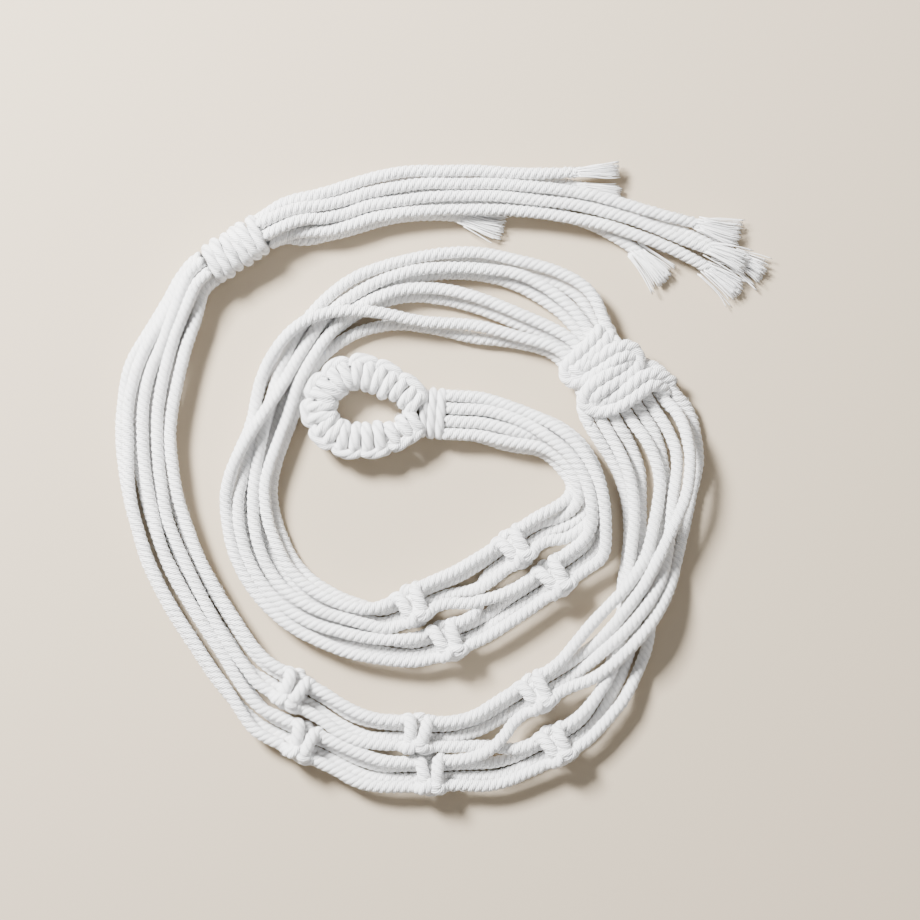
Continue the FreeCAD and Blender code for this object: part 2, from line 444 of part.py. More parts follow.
def loop_path():
    """Middle line of the loop from the neck wrap round the eye and back to the neck wrap."""
    first, last = (at(NECK, -NECK_LENGTH / 2, *leg) for leg in LOOP_LEGS)
    return [first] + between(LOOP_LINE) + [last]


def loop_core():
    """The bundle inside the hanging loop."""
    solid, length, radii = tube(loop_path(), LOOP_CORE)
    print("loop_core: %.0f mm, radii %.1f to %.0f" % (length, min(radii), max(radii)))
    return solid


def halfway_normal(before, here, after):
    """Normal of the plane that halves the corner between two runs of the loop."""
    return ((here - before).normalize() + (after - here).normalize()).normalize()


def other_leg_side(first_leg):
    """Half-space past the neck wrap's middle plane, where the other leg's wrap lies."""
    edge = -60 + BEAD_GAP / 2 if first_leg else -BEAD_GAP / 2
    return put(Part.makeBox(80, 60, 30, FreeCAD.Vector(-80, edge, -5)), NECK)


def loop_knot(number):
    """One wrap of the loop: a barrel sleeve cut along the planes halfway to its neighbours."""
    before, start, end, after = loop_path()[number - 1:number + 3]
    run = end - start
    reach = FreeCAD.Vector(run).normalize() * BEAD_DIAMETER / 2
    length = run.Length + BEAD_DIAMETER
    sleeve = Part.makeCylinder(BEAD_DIAMETER / 2, length, start - reach, run)
    for corner, outward in ((start, -halfway_normal(before, start, end)),
                            (end, halfway_normal(start, end, after))):
        outward.z = 0
        outside = Part.makeBox(60, 60, 30, FreeCAD.Vector(-30, -30, 0))
        outside.Placement = FreeCAD.Placement(
            corner - outward * (BEAD_GAP / 2), FreeCAD.Rotation(FreeCAD.Vector(0, 0, 1), outward))
        sleeve = sleeve.cut(outside)
    if number in (1, len(LOOP_LINE) - 1):
        sleeve = sleeve.cut(other_leg_side(number == 1))
    return sleeve.cut(Part.makeCylinder(BEAD_HOLE / 2, length, start - reach, run))


save(put(binding(NECK_LENGTH, NECK_WIDTH, NECK_HEIGHT, 2.4, 3), NECK), "neck_wrap")
save(loop_core(), "loop_core")
for number in range(1, len(LOOP_LINE)):
    save(loop_knot(number), "loop_knot_%02d" % number)
for name, place in SQUARE_KNOTS.items():
    save(put(square_knot(), place), "square_knot_" + name)
save(put(gathering_knot(), GATHER), "gathering_knot")
save(put(binding(WRAP_LENGTH, WRAP_WIDTH, WRAP_HEIGHT, 3.6, 6), WRAP), "bottom_wrap")
for cord in NECK_TO_KNOT_1:
    cord_solids("upper_cord_" + cord, upper_stretches(cord))
for cord in TASSEL:
    cord_solids("lower_cord_" + cord, lower_stretches(cord))
for cord in TASSEL:
    cord_solids("tail_cord_" + cord, tail_stretches(cord))
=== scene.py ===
import math
import random

import bpy
import numpy as np
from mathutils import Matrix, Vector


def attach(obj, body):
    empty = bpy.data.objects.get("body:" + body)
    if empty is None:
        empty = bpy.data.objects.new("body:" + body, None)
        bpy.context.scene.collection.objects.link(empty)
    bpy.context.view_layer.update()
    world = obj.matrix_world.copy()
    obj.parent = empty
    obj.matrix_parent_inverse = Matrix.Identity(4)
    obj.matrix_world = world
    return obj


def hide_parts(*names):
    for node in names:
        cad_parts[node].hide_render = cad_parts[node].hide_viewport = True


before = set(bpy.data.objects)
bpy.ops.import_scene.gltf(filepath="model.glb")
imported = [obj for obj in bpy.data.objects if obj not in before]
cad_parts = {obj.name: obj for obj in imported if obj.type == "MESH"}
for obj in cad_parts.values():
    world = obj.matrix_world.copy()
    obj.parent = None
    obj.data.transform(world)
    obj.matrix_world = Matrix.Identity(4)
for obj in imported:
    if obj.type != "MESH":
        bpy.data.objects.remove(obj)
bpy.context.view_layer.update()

# Two-tier macrame plant hanger. The tables are in millimetres and are scaled to metres where a
# route is made. Sizes and routes are those of the CAD part.
MM = 0.001
CORD = 5.0
LOW, HIGH, TOP = 2.7, 7.9, 13.1
LEAD = 6.0
KNOT_LENGTH, GATHER_LENGTH = 13.0, 26.0
NECK_LENGTH, WRAP_LENGTH = 8.4, 26.0
LOOP_CORE = 7.0

STRANDS = 3            # strands in the cord
PITCH = 8.0            # length of one full turn of a strand, left-handed
SLACK_PITCH = 19.0     # the same where the cord is pulled tight round a bundle and untwists
TIGHT_RELIEF = 0.29    # share of a cord's radius its strands are off its middle when pulled tight
SIDES = 12             # faces round one strand
YARNS = 9              # yarns seen round one strand
HAIR_SPACING = 0.55    # length of cord to each loose hair
UNDONE = 13.0          # length of a tail's end that has come undone
FRAY_YARNS = 110       # loose yarns at the end of each tail

SQUARE_KNOTS = {
    "1_inner": (31.5, -27.5, 216), "1_outer": (47.0, -39.5, 215),
    "2_inner": (-9.5, -50.5, 207), "2_outer": (4.5, -64.5, 200),
    "3_inner": (40.0, -85.5, 211), "3_outer": (48.0, -106.5, 208),
    "4_inner": (-7.5, -102.0, 178), "4_outer": (-2.5, -118.0, 182),
    "5_inner": (-57.5, -84.5, 152), "5_outer": (-53.5, -105.0, 155),
}
GATHER = (70.5, 41.5, -60)
NECK = (-0.5, 26.0, -4)
WRAP = (-80.5, 91.5, 33)

# Where a cord crosses the end face of a knot or binding: (sideways, height).
KNOT_SLOTS = [(-4.9, HIGH), (-2.55, LOW), (2.55, LOW), (4.9, HIGH)]
GATHER_IN_SLOTS = {
    "2": (-14.5, LOW), "3": (-12, HIGH), "4": (-8.5, LOW), "1": (-6, HIGH),
    "6": (-2.5, LOW), "8": (0.5, HIGH), "7": (4, LOW), "5": (7.5, HIGH),
}
GATHER_OUT_SLOTS = {
    "a": (-17.9, 6), "b": (-12.8, 6), "c": (-7.7, 6), "d": (-2.55, 6),
    "e": (2.55, 6), "f": (7.7, 6), "g": (12.8, 6), "h": (17.9, 6),
}
NECK_SLOTS = {
    "1": (-7.65, LOW), "2": (-7.65, HIGH), "3": (-2.55, LOW), "4": (-2.55, HIGH),
    "6": (2.55, LOW), "5": (2.55, HIGH), "7": (7.65, LOW), "8": (7.65, HIGH),
}
WRAP_SLOTS = {
    "c": (5.15, LOW), "a": (0, LOW), "g": (-5.15, LOW), "e": (5.15, HIGH),
    "f": (0, HIGH), "d": (-5.15, HIGH), "h": (2.6, TOP), "b": (-2.6, TOP),
}
KNOT_CORDS = {
    "1_inner": "1234", "1_outer": "5678", "2_inner": "1245", "2_outer": "3678",
    "3_inner": "dgfh", "3_outer": "bace", "4_inner": "dgfb", "4_outer": "hace",
    "5_inner": "dgfb", "5_outer": "hace",
}
LOOP_LINE = [
    (-9.6, 31, 7.1), (-17, 37, 7.1), (-25, 41.5, 7.1), (-34, 43, 7.1), (-42, 38.5, 7.1),
    (-47, 31, 7.1), (-46, 22.5, 7.1), (-39.5, 16.5, 7.1), (-30, 15, 7.1), (-20, 16.5, 7.1),
    (-10.2, 22.3, 7.1),
]
LOOP_LEGS = (4.4, 6.6), (-4.4, 6.6)   # where the loop's two legs leave the neck wrap

# Points each cord passes between the knots, (x, y, height of its centre).
# Upper cords, neck wrap to the first pair of knots: a U-turn stacked in three layers.
NECK_TO_KNOT_1 = {
    "1": [(17.5, 16.5, LOW), (30.5, 13, LOW), (42, 11.5, LOW), (50, 5.5, LOW), (55, -2.5, LOW),
          (52.5, -8.5, 4), (46.5, -12.5, 6.5)],
    "2": [(17.5, 17.5, HIGH), (30.5, 14, HIGH), (43, 13, HIGH), (52, 6, HIGH), (57, -2.5, HIGH),
          (57.5, -9.5, 5.5), (50.5, -16, 3.2)],
    "3": [(18.5, 21.5, LOW), (32, 17.5, LOW), (44.5, 15.5, LOW), (53.5, 9, LOW), (59.5, -0.5, LOW),
          (61.5, -8, LOW), (59.5, -15, LOW), (51, -20, LOW)],
    "4": [(18.5, 22.5, HIGH), (32.5, 18.5, HIGH), (45.5, 17, HIGH), (55.5, 9.5, HIGH),
          (61.5, -0.5, HIGH), (64, -8.5, HIGH), (62.5, -17, HIGH), (52.5, -24, HIGH)],
    "5": [(20, 27.5, HIGH), (35.5, 22, 9.8), (46, 16, 12.5), (55, 8.5, TOP), (60, -1, TOP),
          (62.5, -11.5, TOP), (62, -19, 11), (59.5, -24, 9)],
    "6": [(20, 26.5, LOW), (35, 21.5, LOW), (47.5, 19, LOW), (57.5, 11.5, LOW), (64.5, -1, LOW),
          (66.5, -12, LOW), (65, -21.5, LOW), (61.5, -26.5, LOW)],
    "7": [(20, 31.5, LOW), (35.5, 26, LOW), (49, 21.5, 5), (59.5, 12.5, 7.3), (65.5, -0.5, HIGH),
          (67.5, -12.5, HIGH), (67.5, -23, 6.5), (64.5, -30, 3.6)],
    "8": [(20, 32, HIGH), (36, 26.5, 9.2), (49, 20.5, 11.6), (59, 11.5, 12.8), (65, -0.5, TOP),
          (67.5, -12, TOP), (68, -24, 11.5), (66.5, -32, 9)],
}

# Upper cords, first to second pair of knots: cords 3 and 5 change sides.
KNOT_1_TO_2 = {
    "1": [(12, -35, 7.5), (5.5, -38, 7.5)],
    "2": [(13.5, -37, LOW), (7, -40, LOW)],
    "3": [(19, -41, LOW), (17, -46, LOW), (17.5, -51, 5.2)],
    "4": [(20, -42, 7), (13.5, -45, 4.2), (8.5, -46, LOW)],
    "5": [(27.5, -46, HIGH), (20, -48.5, HIGH), (12, -50, HIGH)],
    "6": [(28.5, -49, LOW), (22, -54, LOW)],
    "7": [(31, -53.5, LOW), (24, -58.5, LOW)],
    "8": [(32.5, -55.5, HIGH), (25, -60.5, HIGH)],
}

# Upper cords, second pair of knots round the spiral to the gathering knot.
KNOT_2_TO_GATHER = {
    "1": [(-29.5, -52, HIGH), (-36.5, -50.5, HIGH), (-43.5, -48, HIGH), (-51.5, -44, HIGH),
          (-59, -37, HIGH), (-64, -27.5, HIGH), (-67.5, -17, HIGH), (-68.5, -6.5, HIGH),
          (-67, 4, HIGH), (-63.5, 14.5, HIGH), (-59.5, 25, HIGH), (-56, 35.5, HIGH),
          (-51.5, 45.5, HIGH), (-45, 55.5, HIGH), (-37, 64.5, HIGH), (-26.5, 71.5, HIGH),
          (-13.5, 76.5, HIGH), (1.5, 76.5, HIGH), (16.5, 72.5, HIGH), (31.5, 66.5, HIGH),
          (45, 61, HIGH)],
    "2": [(-29, -51, LOW), (-36, -49, LOW), (-43.5, -45.5, LOW), (-51, -41, LOW), (-57.5, -34, LOW),
          (-62, -25, LOW), (-65.5, -15.5, LOW), (-66.5, -5.5, LOW), (-65, 5, LOW), (-61.5, 15, LOW),
          (-57.5, 25, LOW), (-54, 35, LOW), (-49, 45, LOW), (-41, 53.5, LOW), (-30.5, 60, LOW),
          (-16, 62.5, LOW), (0, 60, LOW), (14.5, 56.5, LOW), (29.5, 54.5, LOW)],
    "3": [(-16.5, -65, HIGH), (-26.5, -64, HIGH), (-36.5, -62, HIGH), (-47.5, -59, HIGH),
          (-58.5, -53, HIGH), (-68, -44.5, HIGH), (-75, -34, HIGH), (-78.5, -22.5, HIGH),
          (-79.5, -11, HIGH), (-77.5, -0.5, HIGH), (-75.5, 9, HIGH), (-74, 19, HIGH),
          (-73, 29, HIGH), (-70.5, 39, 9.4), (-65.5, 49, 11.4), (-57, 59.5, TOP), (-45.5, 66, TOP),
          (-33, 67.5, 12.4), (-20, 65.5, 10.2), (-7, 62.5, 8.4), (7.5, 62, HIGH), (21, 60, HIGH),
          (34.5, 56.5, HIGH)],
    "4": [(-26.5, -57, LOW), (-35.5, -55, LOW), (-45, -51.5, LOW), (-53.5, -47, LOW),
          (-61.5, -39.5, LOW), (-67.5, -29, LOW), (-71.5, -18.5, LOW), (-73, -8, LOW),
          (-71.5, 2.5, LOW), (-68, 12.5, LOW), (-63, 23.5, LOW), (-60, 34, LOW), (-55.5, 44, LOW),
          (-48, 53.5, LOW), (-37.5, 62, LOW), (-25, 70, LOW), (-10.5, 74, LOW), (4.5, 72, LOW),
          (19.5, 67.5, LOW), (32.5, 62.5, LOW), (43.5, 58.5, LOW)],
    "5": [(-25.5, -58.5, HIGH), (-34.5, -56.5, HIGH), (-44, -54, HIGH), (-54, -49.5, HIGH),
          (-63, -42, HIGH), (-69.5, -31.5, HIGH), (-73, -20, HIGH), (-73.5, -8.5, HIGH),
          (-72.5, 2, HIGH), (-70.5, 12, HIGH), (-68, 22, HIGH), (-66, 32.5, HIGH),
          (-63, 43.5, HIGH), (-57.5, 55, HIGH), (-50, 65.5, HIGH), (-41, 74.5, HIGH),
          (-29, 82.5, HIGH), (-13, 88, HIGH), (5.5, 90.5, HIGH), (24.5, 89.5, HIGH),
          (41.5, 85.5, HIGH), (56.5, 79.5, HIGH), (64, 72, HIGH)],
    "6": [(-15.5, -65, LOW), (-25.5, -63.5, LOW), (-36, -61, LOW), (-46.5, -57.5, LOW),
          (-57.5, -51.5, LOW), (-66.5, -42.5, LOW), (-73.5, -32, LOW), (-77.5, -20.5, LOW),
          (-78.5, -10, LOW), (-76.5, 0.5, LOW), (-73, 10.5, LOW), (-68, 21.5, LOW),
          (-65.5, 32.5, LOW), (-61.5, 44, LOW), (-54.5, 54, LOW), (-44.5, 63, LOW), (-33, 71, LOW),
          (-18.5, 79, LOW), (-3.5, 82.5, LOW), (13.5, 82.5, LOW), (29.5, 79.5, LOW), (42, 73, LOW),
          (52, 65.5, LOW)],
    "7": [(-15.5, -70.5, LOW), (-25.5, -69, LOW), (-35.5, -67, LOW), (-47, -63.5, LOW),
          (-57.5, -58, LOW), (-67.5, -49.5, LOW), (-75.5, -38.5, LOW), (-81.5, -26.5, LOW),
          (-83.5, -14, LOW), (-83.5, -2.5, LOW), (-80.5, 8, LOW), (-75.5, 19, LOW),
          (-72.5, 30.5, LOW), (-69, 42, LOW), (-62.5, 52.5, LOW), (-53, 62, LOW), (-41.5, 71, LOW),
          (-28, 79, LOW), (-11.5, 85, LOW), (6.5, 88, LOW), (23.5, 86, LOW), (40.5, 82, LOW),
          (53.5, 76.5, LOW), (60.5, 70, LOW)],
    "8": [(-13.5, -73.5, HIGH), (-23.5, -72, HIGH), (-34.5, -70, HIGH), (-45.5, -66, HIGH),
          (-56.5, -61, HIGH), (-66.5, -53, HIGH), (-75.5, -42, HIGH), (-81.5, -29.5, HIGH),
          (-84, -16.5, HIGH), (-84.5, -6, 9.5), (-81.5, 5, 12.4), (-76, 15, TOP),
          (-69.5, 24.5, TOP), (-63.5, 33.5, 11.2), (-59, 42, 8.8), (-52.5, 53.5, HIGH),
          (-44.5, 64, HIGH), (-34, 73, HIGH), (-20, 81, HIGH), (-4.5, 84.5, HIGH), (13.5, 85, HIGH),
          (31.5, 82.5, HIGH), (44.5, 76.5, HIGH), (54.5, 68, HIGH)],
}

# Lower cords, gathering knot to the third pair of knots.
GATHER_TO_KNOT_3 = {
    "a": [(70, 8.5, LOW), (74.5, 0, LOW), (77, -10, LOW), (77.5, -20.5, LOW), (76.5, -32, LOW),
          (75, -43, LOW), (74.5, -54, LOW), (73, -65, LOW), (69, -77.5, LOW), (64, -89.5, LOW)],
    "b": [(73, 11.5, 7.3), (77.5, 2, HIGH), (79, -8, HIGH), (79, -18.5, HIGH), (77.5, -30, HIGH),
          (76.5, -41.5, HIGH), (76, -52.5, HIGH), (74.5, -64.5, HIGH), (70.5, -76.5, HIGH),
          (64.5, -88, HIGH)],
    "c": [(78.5, 13.5, 3.6), (82, 4, LOW), (82.5, -6.5, LOW), (82.5, -17.5, LOW),
          (82, -28.5, LOW), (80.5, -40.5, LOW), (80.5, -52.5, LOW), (79, -65, LOW),
          (75.5, -77.5, LOW), (69, -91, LOW)],
    "d": [(83.5, 17, 7.4), (88, 8, HIGH), (90, -2, HIGH), (88.5, -12, HIGH), (86, -22.5, 9),
          (82.5, -33, 12), (76.5, -42.5, TOP), (69.5, -50, 12.5), (62, -58, 9), (54.5, -67, HIGH)],
    "e": [(87.5, 18.5, 4), (91, 9.5, LOW), (92.5, -1.5, LOW), (92, -12.5, LOW), (90, -23.5, LOW),
          (87.5, -34.5, LOW), (86, -46.5, LOW), (86, -58.5, LOW), (84.5, -70.5, 3.6), (79, -82, 6),
          (71, -94, 7.7)],
    "f": [(92, 22, 7), (95.5, 12.5, HIGH), (96.5, 2.5, HIGH), (95, -8, HIGH), (94, -18.5, HIGH),
          (92.5, -29.5, HIGH), (90, -39.5, 9.5), (85, -48.5, 12.7), (78.5, -57, TOP),
          (71.5, -64.5, 12), (64.5, -71.5, 6.5), (58.5, -76.5, 3.4)],
    "g": [(96.5, 26, 9), (100.5, 17, 12), (102, 6.5, TOP), (100.5, -3.5, TOP), (97, -13, TOP),
          (93, -22.5, TOP), (88.5, -32, TOP), (83.5, -41.5, TOP), (77, -50, TOP),
          (70.5, -58.5, 11.5), (64.5, -65.5, 6.8), (57.5, -71, 3.5)],
    "h": [(101.5, 28, 3.6), (104.5, 18.5, LOW), (105.5, 8.5, LOW), (104, -2, LOW),
          (102, -12, LOW), (99, -22, LOW), (97, -32, 4), (94.5, -42, 7.5), (90, -51, 11),
          (84, -60, TOP), (77, -68, TOP), (69, -75.5, 10.5), (61.5, -81, 8.3)],
}

# Lower cords, third to fourth pair of knots: cords h and b change sides.
KNOT_3_TO_4 = {
    "a": [(28.5, -113, LOW), (22.5, -114.5, LOW), (16.5, -115, LOW)],
    "b": [(27.5, -108, 6.2), (20.5, -107, 5.6), (12.5, -107, 7)],
    "c": [(31, -118, LOW), (24, -120, LOW), (17, -120, LOW)],
    "d": [(21, -91.5, 8.5), (14.5, -95.5, 8.7)],
    "e": [(32, -120, 7.5), (24.5, -122.5, 7.4), (17.5, -123.5, 7.5)],
    "f": [(24.5, -98, LOW), (17.5, -102, LOW), (11, -104, LOW)],
    "g": [(22, -94, LOW), (16, -97, LOW)],
    "h": [(28, -102, 10), (23.5, -107, 11), (17.5, -111, 9)],
}

# Lower cords, fourth to fifth pair of knots.
KNOT_4_TO_5 = {
    "a": [(-21.5, -116, LOW), (-28.5, -114, LOW), (-35.5, -111, LOW)],
    "b": [(-27, -106, 7.6), (-34.5, -104, HIGH), (-41.5, -100, HIGH)],
    "c": [(-22, -121, LOW), (-29.5, -119.5, LOW), (-37.5, -116, LOW)],
    "d": [(-26.5, -95.5, 7.5), (-33, -93, 7.6), (-38.5, -90, 7.5)],
    "e": [(-22, -123.5, 7.6), (-30, -122, 7.6), (-38, -118.5, 7.6)],
    "f": [(-27, -104, LOW), (-34.5, -101.5, LOW), (-41.5, -97.5, LOW)],
    "g": [(-26.5, -98, LOW), (-33.5, -96, LOW), (-39.5, -92, LOW)],
    "h": [(-21.5, -113, HIGH), (-28, -111, HIGH), (-34.5, -108.5, HIGH)],
}

# Lower cords, fifth pair of knots round the left side to the bottom wrap.
KNOT_5_TO_WRAP = {
    "a": [(-69.5, -93, LOW), (-75, -86, LOW), (-80, -78.5, LOW), (-88.5, -67, LOW), (-96, -56, LOW),
          (-103.5, -44, LOW), (-109.5, -32, LOW), (-114, -19.5, LOW), (-117.5, -7, LOW),
          (-119.5, 5.5, LOW), (-120.5, 18, LOW), (-119.5, 31.5, LOW), (-117, 44, LOW),
          (-112, 54.5, LOW), (-106.5, 64, LOW), (-102, 72.5, LOW)],
    "b": [(-76, -76, HIGH), (-82.5, -66.5, HIGH), (-89.5, -54.5, HIGH), (-96, -43, HIGH),
          (-101.5, -31.5, HIGH), (-106, -20, HIGH), (-109.5, -8.5, HIGH), (-111, 3, HIGH),
          (-111.5, 15.5, HIGH), (-111.5, 28, HIGH), (-109.5, 40, HIGH), (-106.5, 51.5, 8.3),
          (-102, 62.5, 10.8), (-98.5, 72, 12.8)],
    "c": [(-72.5, -98.5, LOW), (-79.5, -91.5, LOW), (-86, -83.5, LOW), (-93.5, -73, LOW),
          (-101.5, -61.5, LOW), (-109, -49.5, LOW), (-115.5, -36, LOW), (-120.5, -22, LOW),
          (-124, -8.5, LOW), (-126, 5, LOW), (-127, 18.5, LOW), (-126, 33, LOW), (-123.5, 45, LOW),
          (-118.5, 55, LOW), (-112.5, 64, LOW), (-107.5, 72, LOW), (-103.5, 79.5, LOW)],
    "d": [(-71.5, -69, HIGH), (-77.5, -61.5, HIGH), (-83.5, -52, HIGH), (-89.5, -41.5, HIGH),
          (-95.5, -30.5, HIGH), (-100, -19, HIGH), (-103.5, -8, HIGH), (-105.5, 3.5, HIGH),
          (-106, 15, HIGH), (-105.5, 27.5, HIGH), (-103.5, 38.5, HIGH), (-101, 50, HIGH),
          (-97.5, 60, HIGH), (-95, 69.5, HIGH)],
    "e": [(-73.5, -100, HIGH), (-78.5, -92.5, HIGH), (-83.5, -84.5, HIGH), (-90.5, -75, HIGH),
          (-98, -64, HIGH), (-105.5, -52, HIGH), (-112.5, -39.5, HIGH), (-117.5, -26, HIGH),
          (-121.5, -13, HIGH), (-123, 0, HIGH), (-123.5, 14, HIGH), (-123.5, 28, HIGH),
          (-121, 41.5, HIGH), (-116.5, 52.5, HIGH), (-111, 62, HIGH), (-106.5, 70.5, HIGH),
          (-103, 78, HIGH)],
    "f": [(-76, -76, LOW), (-82.5, -67, LOW), (-89.5, -56, LOW), (-96.5, -44.5, LOW),
          (-103, -32.5, LOW), (-107.5, -21, LOW), (-111.5, -9, LOW), (-113.5, 2.5, LOW),
          (-114.5, 15, LOW), (-114, 28, LOW), (-112, 40.5, LOW), (-107.5, 52, LOW), (-103, 63, 4),
          (-99.5, 72, 6.8)],
    "g": [(-73.5, -70, LOW), (-79, -62.5, LOW), (-84.5, -53.5, LOW), (-91, -42.5, LOW),
          (-96.5, -31.5, LOW), (-101.5, -20, LOW), (-105.5, -8, LOW), (-107.5, 3.5, LOW),
          (-108, 15.5, LOW), (-107.5, 27.5, LOW), (-106, 39, LOW), (-103.5, 50, LOW),
          (-99.5, 60, LOW), (-96.5, 69.5, LOW)],
    "h": [(-69.5, -92.5, HIGH), (-75.5, -86, HIGH), (-81, -78, HIGH), (-87.5, -67.5, HIGH),
          (-95, -56.5, HIGH), (-102, -45, HIGH), (-108.5, -33, HIGH), (-112.5, -20.5, HIGH),
          (-115.5, -8, HIGH), (-117, 4, HIGH), (-117.5, 16, HIGH), (-117, 30, HIGH),
          (-114.5, 42.5, HIGH), (-109.5, 54, 8.3), (-105, 64.5, 10.8), (-101.5, 74.5, 12.7)],
}

# Tail cords, bottom wrap to the cut ends of the tassel.
TASSEL = {
    "a": [(-55.5, 106.5, LOW), (-46.5, 108, LOW), (-36.5, 109.5, LOW), (-25.5, 113, LOW),
          (-8.5, 115.5, LOW), (9.5, 116, LOW), (29.5, 115, LOW), (49.5, 112.5, LOW),
          (67, 109.5, LOW), (84.5, 104.5, LOW), (100, 99, LOW), (114.5, 92, LOW), (128, 85, LOW)],
    "b": [(-53.5, 104, 12), (-45.5, 104, 9.5), (-35.5, 106, HIGH), (-25.5, 110, HIGH),
          (-7.5, 112.5, HIGH), (15.5, 113.5, HIGH), (35.5, 112, HIGH), (56.5, 109.5, HIGH),
          (72, 106, 8), (86.5, 101.5, 8), (100.5, 95.5, 7.8), (111, 91.5, 7.3), (120.5, 87.5, 6.8)],
    "c": [(-58.5, 110.5, LOW), (-49, 112.5, LOW), (-38, 114, LOW), (-25.5, 118, LOW),
          (-12.5, 120, LOW), (1.5, 121.5, LOW), (17.5, 121.5, LOW), (33.5, 120, LOW),
          (49.5, 119, LOW), (69.5, 116, LOW)],
    "d": [(-52, 99, HIGH), (-43.5, 99, HIGH), (-35, 101, HIGH), (-24.5, 104.5, HIGH),
          (-7.5, 107.5, HIGH), (17.5, 108, HIGH), (37, 106.5, HIGH), (56.5, 104, HIGH),
          (71, 100.5, 8), (85.5, 96, 8), (99, 90, 6.5), (110, 84, 4), (119, 78.5, 3)],
    "e": [(-58.5, 111, HIGH), (-49, 113.5, HIGH), (-38, 116, HIGH), (-26.5, 120, HIGH),
          (-13.5, 122.5, HIGH), (0.5, 123.5, HIGH), (15.5, 123.5, HIGH), (31.5, 122, HIGH),
          (50, 122, 7), (68.5, 123.5, 6)],
    "f": [(-55.5, 102, 6.6), (-46, 102.5, 4), (-35.5, 104.5, LOW), (-24.5, 108.5, LOW),
          (-8, 111, LOW), (13.5, 111, LOW), (33.5, 109.5, LOW), (51.5, 106, LOW), (66, 101, LOW),
          (77.5, 94, LOW), (84.5, 88.5, LOW), (89.5, 83.5, LOW)],
    "g": [(-53, 95.5, LOW), (-44, 98, LOW), (-34.5, 100, LOW), (-23.5, 103.5, LOW), (-10.5, 106, LOW),
          (1.5, 106.5, LOW), (12.5, 105, LOW), (22.5, 102, LOW)],
    "h": [(-55.5, 108, 11.5), (-46.5, 109, 9), (-36.5, 111, HIGH), (-25.5, 115, HIGH),
          (-7.5, 118, HIGH), (13.5, 118.5, HIGH), (32, 117.5, HIGH), (50, 115.5, HIGH),
          (67, 112.5, 7.5), (84, 108, 7.2), (101, 103, 6), (117.5, 98.5, 4)],
}


def at(place, along, across, height):
    """A point given along and across the direction of a knot or binding."""
    x, y, heading = place
    cos, sin = math.cos(math.radians(heading)), math.sin(math.radians(heading))
    return (x + along * cos - across * sin, y + along * sin + across * cos, height)


def placed(place, points):
    """Local points of a knot or binding, moved to its place."""
    return [at(place, *point) for point in points]


def leaving(place, length, position):
    return [at(place, length / 2, *position), at(place, length / 2 + LEAD, *position)]


def arriving(place, length, position):
    return [at(place, -length / 2 - LEAD, *position), at(place, -length / 2, *position)]


def knot_of(row, cord):
    """Which square knot of a row a cord runs through, and the slot it takes."""
    for side in ("_inner", "_outer"):
        if cord in KNOT_CORDS[row + side]:
            return SQUARE_KNOTS[row + side], KNOT_SLOTS[KNOT_CORDS[row + side].index(cord)]


def out_of_knot(row, cord):
    place, position = knot_of(row, cord)
    return leaving(place, KNOT_LENGTH, position)


def into_knot(row, cord):
    place, position = knot_of(row, cord)
    return arriving(place, KNOT_LENGTH, position)


# ---- camera, straight above, as the hanger was seen -------------------------------------------

def add_camera():
    data = bpy.data.cameras.new("camera")
    data.lens = 85
    data.sensor_width = 36
    camera = bpy.data.objects.new("camera", data)
    camera.location = (0.0095, 0.00745, 0.877)
    bpy.context.scene.collection.objects.link(camera)
    bpy.context.scene.camera = camera


# ---- rope --------------------------------------------------------------------------------------

def read_route(points):
    """Centre line of a route, in metres: the points of its NURBS spline."""
    curve = bpy.data.curves.new("route", "CURVE")
    curve.dimensions = "3D"
    spline = curve.splines.new("NURBS")
    spline.points.add(len(points) - 1)
    for control, point in zip(spline.points, points):
        control.co = (point[0] * MM, point[1] * MM, point[2] * MM, 1)
    spline.order_u = 3
    spline.use_endpoint_u = True
    spline.resolution_u = 14
    holder = bpy.data.objects.new("route", curve)
    mesh = bpy.data.meshes.new_from_object(holder)
    path = np.array([vertex.co[:] for vertex in mesh.vertices])
    bpy.data.objects.remove(holder)
    bpy.data.curves.remove(curve)
    bpy.data.meshes.remove(mesh)
    return path


def unit(vectors):
    return vectors / np.maximum(np.linalg.norm(vectors, axis=-1, keepdims=True), 1e-12)


def along(path):
    """Distance from the start to each point of a path."""
    return np.concatenate([[0], np.cumsum(np.linalg.norm(np.diff(path, axis=0), axis=1))])


def carried_frames(path, closed=False):
    """Tangent, normal and side at each point, with the normal upright again at the far end."""
    tangent = unit(np.gradient(path, axis=0))
    up = np.array([0.0, 0.0, 1.0])
    normal = np.zeros_like(path)
    normal[0] = unit(up - tangent[0] * (tangent[0] @ up) + 1e-9)
    for i in range(1, len(path)):
        carried = normal[i - 1] - tangent[i] * (tangent[i] @ normal[i - 1])
        normal[i] = unit(carried)
    target = normal[0] if closed else unit(up - tangent[-1] * (tangent[-1] @ up) + 1e-9)
    side = np.cross(tangent, normal)
    drift = math.atan2(target @ side[-1], target @ normal[-1])
    turn = drift * (along(path) / along(path)[-1])[:, None]
    return tangent, normal * np.cos(turn) + side * np.sin(turn), side * np.cos(turn) - normal * np.sin(turn)


